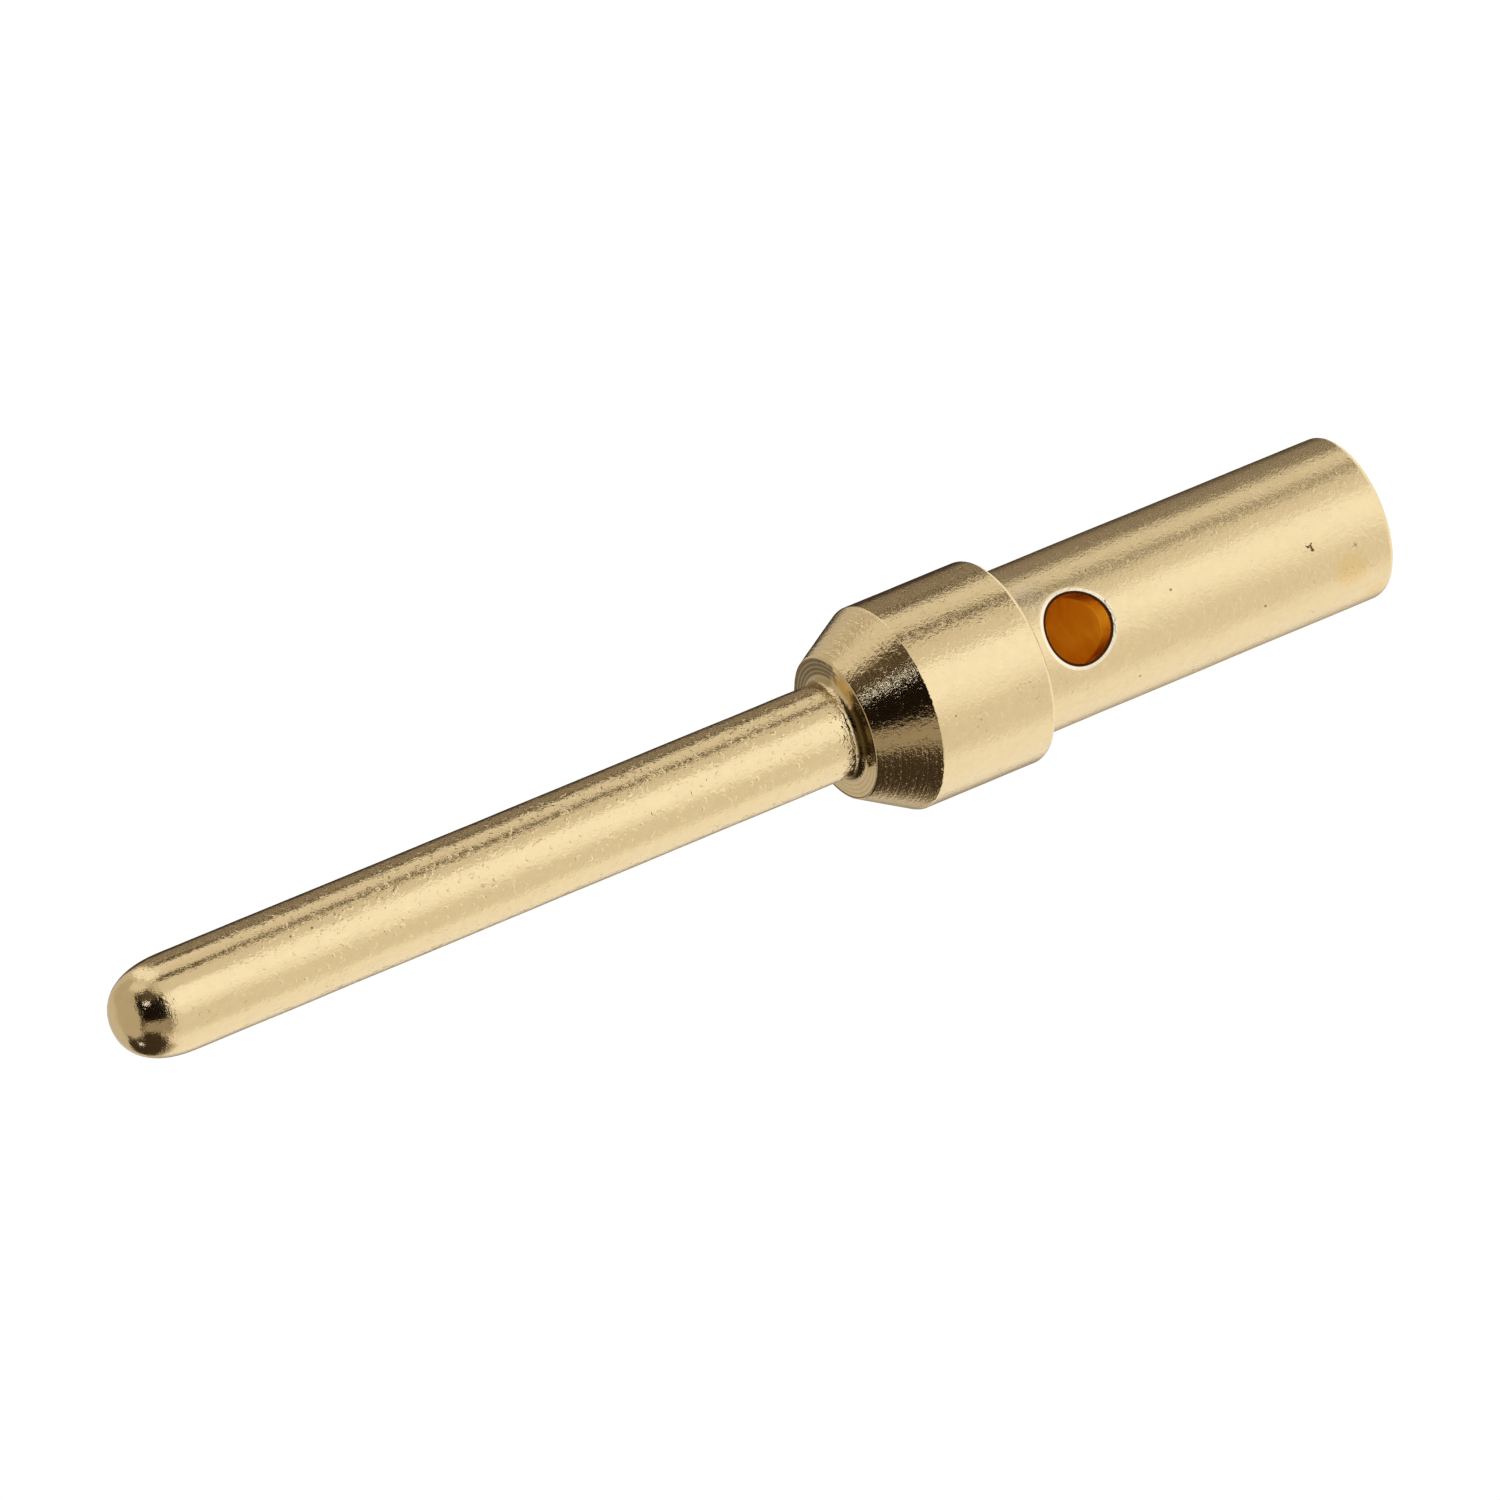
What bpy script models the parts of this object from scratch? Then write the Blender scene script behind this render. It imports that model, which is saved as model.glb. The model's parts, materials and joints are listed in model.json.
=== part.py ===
"""Crimp pin contact: one turned and cross-drilled piece, gold plated.

The contact stands on its crimp end. +Z runs along its axis, from the crimp end to the tip of the pin.
The origin is the centre of the crimp end's face, and the inspection hole looks along -Y.
"""

from math import cos, pi, radians, sin, sqrt, tan

import bmesh
import bpy
from mathutils import Vector

MM = 0.001

# Driving dimensions, in millimetres
PIN_DIAMETER = 1.0
PIN_LENGTH = 8.19
NOSE_LENGTH = 0.73
NOSE_FULLNESS = 2.4
ROOT_FILLET = 0.08

SHOULDER_DIAMETER = 1.49
SHOULDER_EDGE = 0.02
CONE_LENGTH = 0.58
COLLAR_DIAMETER = 2.14
COLLAR_LENGTH = 1.33
COLLAR_FRONT_EDGE = 0.05
COLLAR_REAR_EDGE = 0.05
BARREL_ROOT_FILLET = 0.03
BARREL_DIAMETER = 1.73
BARREL_LENGTH = 4.22
BARREL_END_EDGE = 0.08

WIRE_BORE_DIAMETER = 1.2
WIRE_BORE_CHAMFER = 0.05
DRILL_POINT_ANGLE = 118.0

INSPECTION_HOLE_DIAMETER = 0.70
INSPECTION_HOLE_SETBACK = 0.56
INSPECTION_HOLE_CHAMFER = 0.05
BORE_PAST_HOLE = 0.12

# How finely round shapes are divided
TURNED_SIDES = 64
HOLE_SIDES = 48
NOSE_STEPS = 12
EDGE_STEPS = 3
SHARP_ANGLE = 25.0

# Places along the axis and radii, all worked out from the dimensions above
COLLAR_REAR_Z = BARREL_LENGTH
COLLAR_FRONT_Z = COLLAR_REAR_Z + COLLAR_LENGTH
SHOULDER_Z = COLLAR_FRONT_Z + CONE_LENGTH
TIP_Z = SHOULDER_Z + PIN_LENGTH
NOSE_Z = TIP_Z - NOSE_LENGTH
PIN_RADIUS = PIN_DIAMETER / 2
SHOULDER_RADIUS = SHOULDER_DIAMETER / 2
COLLAR_RADIUS = COLLAR_DIAMETER / 2
BARREL_RADIUS = BARREL_DIAMETER / 2
WIRE_BORE_RADIUS = WIRE_BORE_DIAMETER / 2
INSPECTION_HOLE_RADIUS = INSPECTION_HOLE_DIAMETER / 2
INSPECTION_HOLE_Z = COLLAR_REAR_Z - INSPECTION_HOLE_SETBACK
BORE_DEPTH = INSPECTION_HOLE_Z + INSPECTION_HOLE_RADIUS + BORE_PAST_HOLE
DRILL_TIP_Z = BORE_DEPTH + WIRE_BORE_RADIUS / tan(radians(DRILL_POINT_ANGLE / 2))


def clear_scene():
    """Remove whatever the open file holds."""
    for item in list(bpy.data.objects):
        bpy.data.objects.remove(item, do_unlink=True)


def new_collection(name):
    collection = bpy.data.collections.new(name)
    bpy.context.scene.collection.children.link(collection)
    return collection


def gold_plating():
    """Satin, pale gold plating."""
    material = bpy.data.materials.new("gold_plating")
    material.use_nodes = True
    shader = material.node_tree.nodes["Principled BSDF"]
    shader.inputs["Base Color"].default_value = (0.90, 0.70, 0.40, 1.0)
    shader.inputs["Metallic"].default_value = 1.0
    shader.inputs["Roughness"].default_value = 0.28
    return material


def nose_points():
    """The rounded nose: a superellipse, a little fuller than half an ellipse."""
    points = [(0.0, TIP_Z)]
    for step in range(1, NOSE_STEPS + 1):
        angle = (pi / 2) * (1 - step / NOSE_STEPS)
        across = PIN_RADIUS * cos(angle) ** (2 / NOSE_FULLNESS)
        along = NOSE_LENGTH * sin(angle) ** (2 / NOSE_FULLNESS)
        points.append((across, NOSE_Z + along))
    return points


def rounded_corner(before, corner, after, rounding):
    """Points of the arc that rounds a corner of the half section, from its first side to its second."""
    corner = Vector(corner)
    towards_before = (Vector(before) - corner).normalized()
    towards_after = (Vector(after) - corner).normalized()
    half_angle = towards_before.angle(towards_after) / 2
    bisector = (towards_before + towards_after).normalized()
    centre = corner + bisector * rounding / sin(half_angle)
    tangent = rounding / tan(half_angle)
    first = corner + towards_before * tangent - centre
    last = corner + towards_after * tangent - centre
    directions = [first.slerp(last, step / EDGE_STEPS) for step in range(EDGE_STEPS + 1)]
    return [tuple(centre + direction * rounding) for direction in directions]


def contact_profile():
    """Half section of the contact, in millimetres as (radius, height).

    It runs down the outside from the tip to the crimp end, and then up the wire bore to the drill point.
    Each corner names its own rounding: 0 keeps it sharp.
    """
    mouth = WIRE_BORE_RADIUS + WIRE_BORE_CHAMFER
    corners = [
        ((PIN_RADIUS, SHOULDER_Z), ROOT_FILLET),
        ((SHOULDER_RADIUS, SHOULDER_Z), SHOULDER_EDGE),
        ((COLLAR_RADIUS, COLLAR_FRONT_Z), COLLAR_FRONT_EDGE),
        ((COLLAR_RADIUS, COLLAR_REAR_Z), COLLAR_REAR_EDGE),
        ((BARREL_RADIUS, COLLAR_REAR_Z), BARREL_ROOT_FILLET),
        ((BARREL_RADIUS, 0.0), BARREL_END_EDGE),
        ((mouth, 0.0), 0.0),
        ((WIRE_BORE_RADIUS, WIRE_BORE_CHAMFER), 0.0),
        ((WIRE_BORE_RADIUS, BORE_DEPTH), 0.0),
    ]
    profile = nose_points()
    places = [profile[-1]] + [place for place, rounding in corners] + [(0.0, DRILL_TIP_Z)]
    for index, (place, rounding) in enumerate(corners):
        if rounding > 0.0:
            profile += rounded_corner(places[index], place, places[index + 2], rounding)
        else:
            profile.append(place)
    profile.append(places[-1])
    return profile


def turned_body(name, profile, collection):
    """Turn a half section about Z with a Screw modifier."""
    mesh = bpy.data.meshes.new(name)
    points = [(radius * MM, 0.0, height * MM) for radius, height in profile]
    mesh.from_pydata(points, [(i, i + 1) for i in range(len(points) - 1)], [])
    body = bpy.data.objects.new(name, mesh)
    collection.objects.link(body)
    screw = body.modifiers.new("Turning", "SCREW")
    screw.axis = "Z"
    screw.steps = TURNED_SIDES
    screw.render_steps = TURNED_SIDES
    # The points that meet on the axis become one, and nothing as large as an edge rounding is lost
    screw.use_merge_vertices = True
    screw.merge_threshold = SHOULDER_EDGE * MM / 20
    return body


def drill_ring(radius, distance):
    """One ring of points round the inspection hole's own axis.

    The distance from the contact's axis is a function of the place across the barrel.
    """
    ring = []
    for side in range(HOLE_SIDES):
        angle = 2 * pi * side / HOLE_SIDES
        across = radius * cos(angle)
        ring.append((across, -distance(across), INSPECTION_HOLE_Z + radius * sin(angle)))
    return ring


def inspection_drill(collection):
    """Cutter for the inspection hole.

    It starts on the contact's axis, so it opens one wall of the barrel only. Its mouth flares along the
    round surface of the barrel, which leaves an even chamfer all round the hole.
    """
    chamfer = INSPECTION_HOLE_CHAMFER
    hole = INSPECTION_HOLE_RADIUS
    flare = hole + 2 * chamfer
    rings = [
        drill_ring(hole, lambda across: 0.0),
        drill_ring(hole, lambda across: sqrt(BARREL_RADIUS ** 2 - across ** 2) - chamfer),
        drill_ring(flare, lambda across: sqrt(BARREL_RADIUS ** 2 - across ** 2) + chamfer),
        drill_ring(flare, lambda across: BARREL_DIAMETER),
    ]
    shape = bmesh.new()
    loops = [[shape.verts.new(Vector(point) * MM) for point in ring] for ring in rings]
    for inner, outer in zip(loops, loops[1:]):
        for side in range(HOLE_SIDES):
            following = (side + 1) % HOLE_SIDES
            shape.faces.new((inner[side], inner[following], outer[following], outer[side]))
    shape.faces.new(loops[0])
    shape.faces.new(loops[-1])
    bmesh.ops.recalc_face_normals(shape, faces=shape.faces)
    mesh = bpy.data.meshes.new("inspection_drill")
    shape.to_mesh(mesh)
    shape.free()
    drill = bpy.data.objects.new("inspection_drill", mesh)
    drill.display_type = "WIRE"
    drill.hide_render = True
    collection.objects.link(drill)
    return drill


def drill_through(body, cutter):
    cut = body.modifiers.new("Inspection hole", "BOOLEAN")
    cut.operation = "DIFFERENCE"
    cut.solver = "EXACT"
    cut.object = cutter


def finish_surface(body):
    """Turn the modifiers' result into a plain mesh, smooth but for its true edges."""
    evaluated = body.evaluated_get(bpy.context.evaluated_depsgraph_get())
    mesh = bpy.data.meshes.new_from_object(evaluated)
    mesh.name = body.name
    body.modifiers.clear()
    body.data = mesh
    mesh.shade_smooth()
    mesh.set_sharp_from_angle(angle=radians(SHARP_ANGLE))


def main():
    clear_scene()
    contact_parts = new_collection("crimp_pin_contact")
    cutters = new_collection("cutters")
    contact = turned_body("pin_contact", contact_profile(), contact_parts)
    contact.data.materials.append(gold_plating())
    drill_through(contact, inspection_drill(cutters))
    finish_surface(contact)


main()
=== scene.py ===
# %% [markdown]
# # A crimp pin contact, gold plated
# This lesson dresses one small turned part: a pin with a round nose, a conical shoulder, a collar and a
# crimp barrel with an inspection hole. The solid, at its real size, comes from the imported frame. The lesson
# gives it a finer surface, a plating that looks plated, and a small studio.

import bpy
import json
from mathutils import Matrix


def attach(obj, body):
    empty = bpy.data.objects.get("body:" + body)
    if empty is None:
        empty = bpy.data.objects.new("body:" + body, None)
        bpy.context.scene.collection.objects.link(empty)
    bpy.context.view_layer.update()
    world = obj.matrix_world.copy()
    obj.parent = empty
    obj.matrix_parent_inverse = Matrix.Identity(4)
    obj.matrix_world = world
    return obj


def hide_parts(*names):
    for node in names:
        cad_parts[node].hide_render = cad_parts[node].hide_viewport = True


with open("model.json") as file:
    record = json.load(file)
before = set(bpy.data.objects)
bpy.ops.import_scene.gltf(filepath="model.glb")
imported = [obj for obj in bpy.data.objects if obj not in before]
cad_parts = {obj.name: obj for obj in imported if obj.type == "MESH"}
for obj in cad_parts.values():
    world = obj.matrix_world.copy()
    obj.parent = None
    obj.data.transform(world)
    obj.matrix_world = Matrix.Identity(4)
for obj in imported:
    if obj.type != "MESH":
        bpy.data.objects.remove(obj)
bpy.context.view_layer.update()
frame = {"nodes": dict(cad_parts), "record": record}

import json
from math import cos, pi, radians, sin, tan

import bmesh
import bpy
import numpy as np
from mathutils import Matrix, Vector

MM = 0.001

# %% [markdown]
# ## Sizes
# A turned part is told by its diameters and by the heights of its faces. They could be typed again here, but
# then two files would have to agree. So the diameters are measured on the solid, and the heights of the
# faces come from the record's mounts, which sit on them.

# %% Measure the solid
solid = frame["nodes"]["pin_contact"]
places = np.array([vertex.co for vertex in solid.data.vertices]) / MM
heights = places[:, 2]
radii = np.hypot(places[:, 0], places[:, 1])
face_height = {mount["name"]: mount["pos_m"][2] / MM for mount in frame["record"]["mounts"]}


CLOSE = 0.002


def radius_between(low, high, pick=max):
    """The largest radius, in millimetres, that the solid has between two heights, or the smallest."""
    return float(pick(radii[(heights > low) & (heights < high)]))


TIP_Z = float(heights.max())
SHOULDER_Z = face_height["shoulder_face"]
COLLAR_REAR_Z = face_height["collar_rear_face"]
PIN_RADIUS = radius_between(SHOULDER_Z + 1.0, TIP_Z)
COLLAR_RADIUS = radius_between(COLLAR_REAR_Z, SHOULDER_Z)
BARREL_RADIUS = radius_between(0.2, COLLAR_REAR_Z - 0.1)
BORE_RADIUS = radius_between(0.02, 1.0, min)
BORE_DEPTH = float(heights[abs(radii - BORE_RADIUS) < CLOSE].max())
DRILL_TIP_Z = float(heights[(radii < CLOSE) & (heights < SHOULDER_Z)].max())
print(f"pin {2 * PIN_RADIUS:.3f}, collar {2 * COLLAR_RADIUS:.3f}, barrel {2 * BARREL_RADIUS:.3f} mm across")
print(f"bore {2 * BORE_RADIUS:.3f} mm across, {BORE_DEPTH:.3f} mm deep, drill point at {DRILL_TIP_Z:.3f} mm")

# %% [markdown]
# Roundings and the inspection hole are features of their own, so they are named here, in millimetres.

# %% Name the small features
NOSE_LENGTH = 0.73
NOSE_FULLNESS = 2.4
CONE_LENGTH = 0.58
SHOULDER_RADIUS = 0.745
ROOT_FILLET = 0.08
SHOULDER_EDGE = 0.02
COLLAR_EDGE = 0.05
BARREL_ROOT_FILLET = 0.03
BARREL_END_EDGE = 0.06
BORE_CHAMFER = 0.05
HOLE_RADIUS = 0.350
HOLE_SETBACK = 0.56
HOLE_Z = COLLAR_REAR_Z - HOLE_SETBACK
HOLE_RIM = 0.068
HOLE_RIM_DEPTH = 0.017
# width of the painted shade just inside the hole's rim
EDGE_SHADE_WIDTH = 0.030
SHARP_EDGE = 0.008

# %% [markdown]
# ## Formulas made of nodes
# Geometry, surface and studio are all drawn with node trees below. A tree of Math nodes is hard to read when
# each node is added by hand, so a small class lets a node's output be written in an ordinary formula. Every
# `+`, `-`, `*` or `/` adds one Math node to the same tree.


# %% Write node trees as formulas
class Field:
    """One output of a node, ready for use in a formula."""

    def __init__(self, tree, socket):
        self.tree = tree
        self.socket = socket

    def __add__(self, other):
        return maths("ADD", self, other)

    def __sub__(self, other):
        return maths("SUBTRACT", self, other)

    def __mul__(self, other):
        return maths("MULTIPLY", self, other)

    def __truediv__(self, other):
        return maths("DIVIDE", self, other)

    def __neg__(self):
        return maths("MULTIPLY", self, -1.0)

    def __radd__(self, other):
        return maths("ADD", other, self)

    def __rsub__(self, other):
        return maths("SUBTRACT", other, self)

    def __rmul__(self, other):
        return maths("MULTIPLY", other, self)


def feed(socket, value):
    """Set a socket to a constant, or link a field to it."""
    if isinstance(value, Field):
        value.tree.links.new(value.socket, socket)
    else:
        socket.default_value = value


def maths(operation, *values):
    """Add a Math node, and give back what it works out."""
    tree = next(value.tree for value in values if isinstance(value, Field))
    node = tree.nodes.new("ShaderNodeMath")
    node.operation = operation
    for socket, value in zip(node.inputs, values):
        feed(socket, value)
    return Field(tree, node.outputs[0])


def place_node(tree, kind, inputs=None, **settings):
    """Add a node, choose its settings, and feed its inputs by name or number."""
    node = tree.nodes.new(kind)
    for name, value in settings.items():
        setattr(node, name, value)
    for name, value in (inputs or {}).items():
        feed(node.inputs[name], value)
    return node


def output(node, name=0):
    """A node's output by number, or by name among the ones that its settings leave in use."""
    if isinstance(name, str):
        in_use = (socket for socket in node.outputs if socket.enabled and socket.name == name)
        return Field(node.id_data, next(in_use))
    return Field(node.id_data, node.outputs[name])


def split(vector):
    """The x, y and z of a vector field."""
    node = place_node(vector.tree, "ShaderNodeSeparateXYZ", {0: vector})
    return [output(node, axis) for axis in "XYZ"]


def joined(x, y, z):
    """A vector field made of three numbers or fields."""
    tree = next(value.tree for value in (x, y, z) if isinstance(value, Field))
    return output(place_node(tree, "ShaderNodeCombineXYZ", {"X": x, "Y": y, "Z": z}))


def blend(start, end, share):
    """Runs from start to end as the share goes from 0 to 1."""
    return start + (end - start) * share


def smooth_step(value, low, high, start=0.0, end=1.0):
    """Runs from start to end, with soft shoulders, as the value goes from low to high."""
    inputs = {"Value": value, "From Min": low, "From Max": high, "To Min": start, "To Max": end}
    node = place_node(value.tree, "ShaderNodeMapRange", inputs, interpolation_type="SMOOTHSTEP")
    return output(node)


# %% [markdown]
# ## The half section
# On a lathe the whole outside is cut by moving a tool along one line: the half section. It runs from the tip
# down to the crimp end, and up again inside the wire bore. Each corner has its own rounding. Long runs are
# divided into short rows, because the surface later gets its fine waves from its vertices. Next to each
# rounding lies one very short row, which keeps the rounding's shading from bleeding into the long run.


# %% Draw corners and runs of the half section
NOSE_STEPS = 30
ROUNDING_STEPS = 6
HOLDING_ROW = 0.006


def rounded_corner(before, corner, after, rounding):
    """The arc that rounds a corner, from its first side to its second."""
    before, corner, after = Vector(before), Vector(corner), Vector(after)
    towards_before = (before - corner).normalized()
    towards_after = (after - corner).normalized()
    half_angle = towards_before.angle(towards_after) / 2
    centre = corner + (towards_before + towards_after).normalized() * rounding / sin(half_angle)
    first = corner + towards_before * rounding / tan(half_angle) - centre
    last = corner + towards_after * rounding / tan(half_angle) - centre
    steps = [first.slerp(last, step / ROUNDING_STEPS) for step in range(ROUNDING_STEPS + 1)]
    return [tuple(centre + direction * rounding) for direction in steps]


def straight_run(start, end, row, held=True):
    """Points strictly between two ends, a row apart."""
    start, end = Vector(start), Vector(end)
    length = (end - start).length
    hold = HOLDING_ROW if held and length > 4 * HOLDING_ROW else 0.0
    rows = max(1, round((length - 2 * hold) / row))
    stops = [hold + (length - 2 * hold) * index / rows for index in range(rows + 1)]
    return [tuple(start.lerp(end, stop / length)) for stop in stops if 0.0 < stop < length]


def nose_arc():
    """The nose is a superellipse, a little fuller than half an ellipse."""
    arc = [(0.0, TIP_Z)]
    for step in range(1, NOSE_STEPS + 1):
        angle = (pi / 2) * (1 - step / NOSE_STEPS)
        across = PIN_RADIUS * cos(angle) ** (2 / NOSE_FULLNESS)
        along = NOSE_LENGTH * sin(angle) ** (2 / NOSE_FULLNESS)
        arc.append((across, TIP_Z - NOSE_LENGTH + along))
    return arc


# %% [markdown]
# The tool leaves fine rings where it cut the shoulder's flat face, because it feeds a little further in with
# each turn. They are real relief, so they belong in the half section: shallow scallops along that one run.
# They fade out over a sixth of it at both its ends, and the face falls a little towards its rim.

# %% Cut the rings on the shoulder's face
RING_PITCH = 0.050
ROWS_PER_RING = 7
RING_DEPTH = 0.0010
FADE = 6
FACE_FALL = 0.006


def face_rings(start, end):
    """The shoulder's flat face, from the root fillet out to its rim."""
    across = end[0] - start[0]
    face = []
    for radius, height in straight_run(start, end, RING_PITCH / ROWS_PER_RING):
        from_root, from_rim = radius - start[0], end[0] - radius
        wave = 0.5 - 0.5 * cos(2 * pi * from_root / RING_PITCH)
        share = min(1.0, FADE * from_root / across, FADE * from_rim / across)
        fall = FACE_FALL * from_root / across
        face.append((radius, height - RING_DEPTH * wave * share - fall))
    return face


# %% [markdown]
# Round the inspection hole the rows lie in a square patch, in the barrel's wall and in the bore's wall. Each
# patch is a whole number of cells high and wide, so that the grid's squares can be bent into the hole's
# circle further on.

# %% Put the half section together
SIDES = 192
BARREL_PATCH_CELLS = 20
BORE_PATCH_CELLS = 24
BARREL_PATCH = 0.50
BORE_PATCH = 0.45
LONG_ROW = 0.075
FINE_ROW = 0.05

mouth_radius = BORE_RADIUS + BORE_CHAMFER
collar_front_z = SHOULDER_Z - CONE_LENGTH
corners = [
    ((PIN_RADIUS, TIP_Z - NOSE_LENGTH), 0.0, LONG_ROW),
    ((PIN_RADIUS, SHOULDER_Z), ROOT_FILLET, "rings"),
    ((SHOULDER_RADIUS, SHOULDER_Z), SHOULDER_EDGE, FINE_ROW),
    ((COLLAR_RADIUS, collar_front_z), COLLAR_EDGE, FINE_ROW),
    ((COLLAR_RADIUS, COLLAR_REAR_Z), COLLAR_EDGE, FINE_ROW),
    ((BARREL_RADIUS, COLLAR_REAR_Z), BARREL_ROOT_FILLET, FINE_ROW),
    ((BARREL_RADIUS, HOLE_Z + BARREL_PATCH), 0.0, "patch"),
    ((BARREL_RADIUS, HOLE_Z - BARREL_PATCH), 0.0, FINE_ROW),
    ((BARREL_RADIUS, 0.0), BARREL_END_EDGE, FINE_ROW),
    ((mouth_radius, 0.0), SHARP_EDGE, FINE_ROW),
    ((BORE_RADIUS, BORE_CHAMFER), SHARP_EDGE, LONG_ROW),
    ((BORE_RADIUS, HOLE_Z - BORE_PATCH), 0.0, "patch"),
    ((BORE_RADIUS, HOLE_Z + BORE_PATCH), 0.0, LONG_ROW),
    ((BORE_RADIUS, BORE_DEPTH), SHARP_EDGE, LONG_ROW),
    ((0.0, DRILL_TIP_Z), 0.0, LONG_ROW),
]

PATCH_CELLS = {
    BARREL_RADIUS: (BARREL_PATCH_CELLS, BARREL_PATCH),
    BORE_RADIUS: (BORE_PATCH_CELLS, BORE_PATCH),
}


def half_section():
    """Every point of the half section, as (radius, height) in millimetres."""
    points = nose_arc()[:-1]
    for index, (place, rounding, row) in enumerate(corners):
        arc = [place]
        if rounding > 0.0:
            arc = rounded_corner(corners[index - 1][0], place, corners[index + 1][0], rounding)
        if index > 0:
            row_before = corners[index - 1][2]
            if row_before == "rings":
                points += face_rings(points[-1], arc[0])
            elif row_before == "patch":
                cells, half = PATCH_CELLS[place[0]]
                points += straight_run(points[-1], arc[0], half / cells, held=False)
            else:
                points += straight_run(points[-1], arc[0], row_before)
        points += arc
    return points


section = half_section()
print("half section has", len(section), "points")

# %% [markdown]
# The half section becomes an object whose mesh is only that line. Two numbers ride on its points for the node
# tree: how many cells the hole's patch has there, and which row of the patch the point is.


# %% Make the half section an object
def patch_place(radius, height):
    """(cells from the patch's middle to its edge, row counted from the middle), or zeros outside."""
    for patch_radius, (cells, half) in PATCH_CELLS.items():
        row = (height - HOLE_Z) / (half / cells)
        if abs(radius - patch_radius) < 1e-6 and abs(row) < cells + 0.01:
            return cells, round(row)
    return 0, 0


line = bpy.data.meshes.new("half_section")
points_in_metres = [(radius * MM, 0.0, height * MM) for radius, height in section]
line.from_pydata(points_in_metres, [(index, index + 1) for index in range(len(section) - 1)], [])
hole_cells = line.attributes.new("hole_cells", "FLOAT", "POINT")
hole_row = line.attributes.new("hole_row", "FLOAT", "POINT")
for index, (radius, height) in enumerate(section):
    hole_cells.data[index].value, hole_row.data[index].value = patch_place(radius, height)
contact = bpy.data.objects.new("gold_pin_contact", line)
bpy.context.scene.collection.objects.link(contact)

# %% [markdown]
# ## Turn it with Geometry Nodes
# A Screw modifier could turn the line, and a Boolean could cut the hole, but a Boolean leaves thin slivers
# beside the hole, and polished metal shows each one. So a node tree does both, with clean squares all over.
# It takes a flat grid, one row for each point of the half section and one column for each side, and wraps it
# round the axis. Where the hole is, the grid's squares are bent into a circle first and the ones inside are
# deleted. A second grid makes the hole's own wall with its countersunk rim, and both are welded.


# %% Start the turning tree
HOLE_CELLS = 12
RIM_ROWS = 6
WALL_ROWS = 12
WAVE_HEIGHT = 0.0090
WAVE_LENGTH = 0.45
SEED = 7


def tree_input(tree, name, kind, value):
    """A named input of the modifier, with the value that it starts from."""
    socket = tree.interface.new_socket(name=name, in_out="INPUT", socket_type=kind)
    if value is not None:
        socket.default_value = value
    return socket


SIZES = {
    "Sides": SIDES,
    "Hole cells": HOLE_CELLS,
    "Hole radius": HOLE_RADIUS * MM,
    "Hole height": HOLE_Z * MM,
    "Hole rim": HOLE_RIM * MM,
    "Rim depth": HOLE_RIM_DEPTH * MM,
    "Rim rows": RIM_ROWS,
    "Wall rows": WALL_ROWS,
    "Barrel radius": BARREL_RADIUS * MM,
    "Bore radius": BORE_RADIUS * MM,
    "Wave height": WAVE_HEIGHT * MM,
    "Wave length": WAVE_LENGTH * MM,
    "Seed": SEED,
}

turning = bpy.data.node_groups.new("Turn and drill", "GeometryNodeTree")
turning.interface.new_socket(name="Half section", in_out="INPUT", socket_type="NodeSocketGeometry")
for name, size in SIZES.items():
    tree_input(turning, name, "NodeSocketInt" if isinstance(size, int) else "NodeSocketFloat", size)
tree_input(turning, "Plating", "NodeSocketMaterial", None)
turning.interface.new_socket(name="Contact", in_out="OUTPUT", socket_type="NodeSocketGeometry")
group_input = turning.nodes.new("NodeGroupInput")
given = {socket.name: Field(turning, socket) for socket in group_input.outputs if socket.name}

# %% [markdown]
# The grid is one unit long and wide. Its X tells which row a vertex belongs to, and its Y tells which side,
# and everything else about the row is read from the half section by that number.


# %% Lay the grid and read the half section
def index_grid(rows, columns):
    """A flat grid, one unit long and wide."""
    return output(place_node(turning, "GeometryNodeMeshGrid", {
        "Size X": 1.0, "Size Y": 1.0, "Vertices X": rows, "Vertices Y": columns}))


def sample(value, row, kind="FLOAT"):
    """Read a value at one point of the half section."""
    node = place_node(turning, "GeometryNodeSampleIndex", data_type=kind, domain="POINT")
    feed(node.inputs["Geometry"], given["Half section"])
    feed(node.inputs["Value"], value)
    feed(node.inputs["Index"], row)
    return output(node)


def named(attribute):
    """The number that rides on the half section's points under this name."""
    return output(place_node(
        turning, "GeometryNodeInputNamedAttribute", {"Name": attribute}, data_type="FLOAT"))


grid_x, grid_y, _ = split(output(turning.nodes.new("GeometryNodeInputPosition")))
size_node = place_node(turning, "GeometryNodeAttributeDomainSize", {"Geometry": given["Half section"]})
row_count = output(size_node, "Point Count")
row = maths("ROUND", (grid_x + 0.5) * (row_count - 1.0))
line_place = sample(output(turning.nodes.new("GeometryNodeInputPosition")), row, "FLOAT_VECTOR")
radius, _, height = split(line_place)
cells = sample(named("hole_cells"), row)
patch_row = sample(named("hole_row"), row)

# %% [markdown]
# Column 0 is the middle of the hole, which looks along -Y. A patch is counted in square rings round that
# middle. The ring numbered `Hole cells` becomes the circle, the patch's outermost ring stays as it was, and
# the rings between are blended. The map from square to circle keeps the points evenly spaced.

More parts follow.
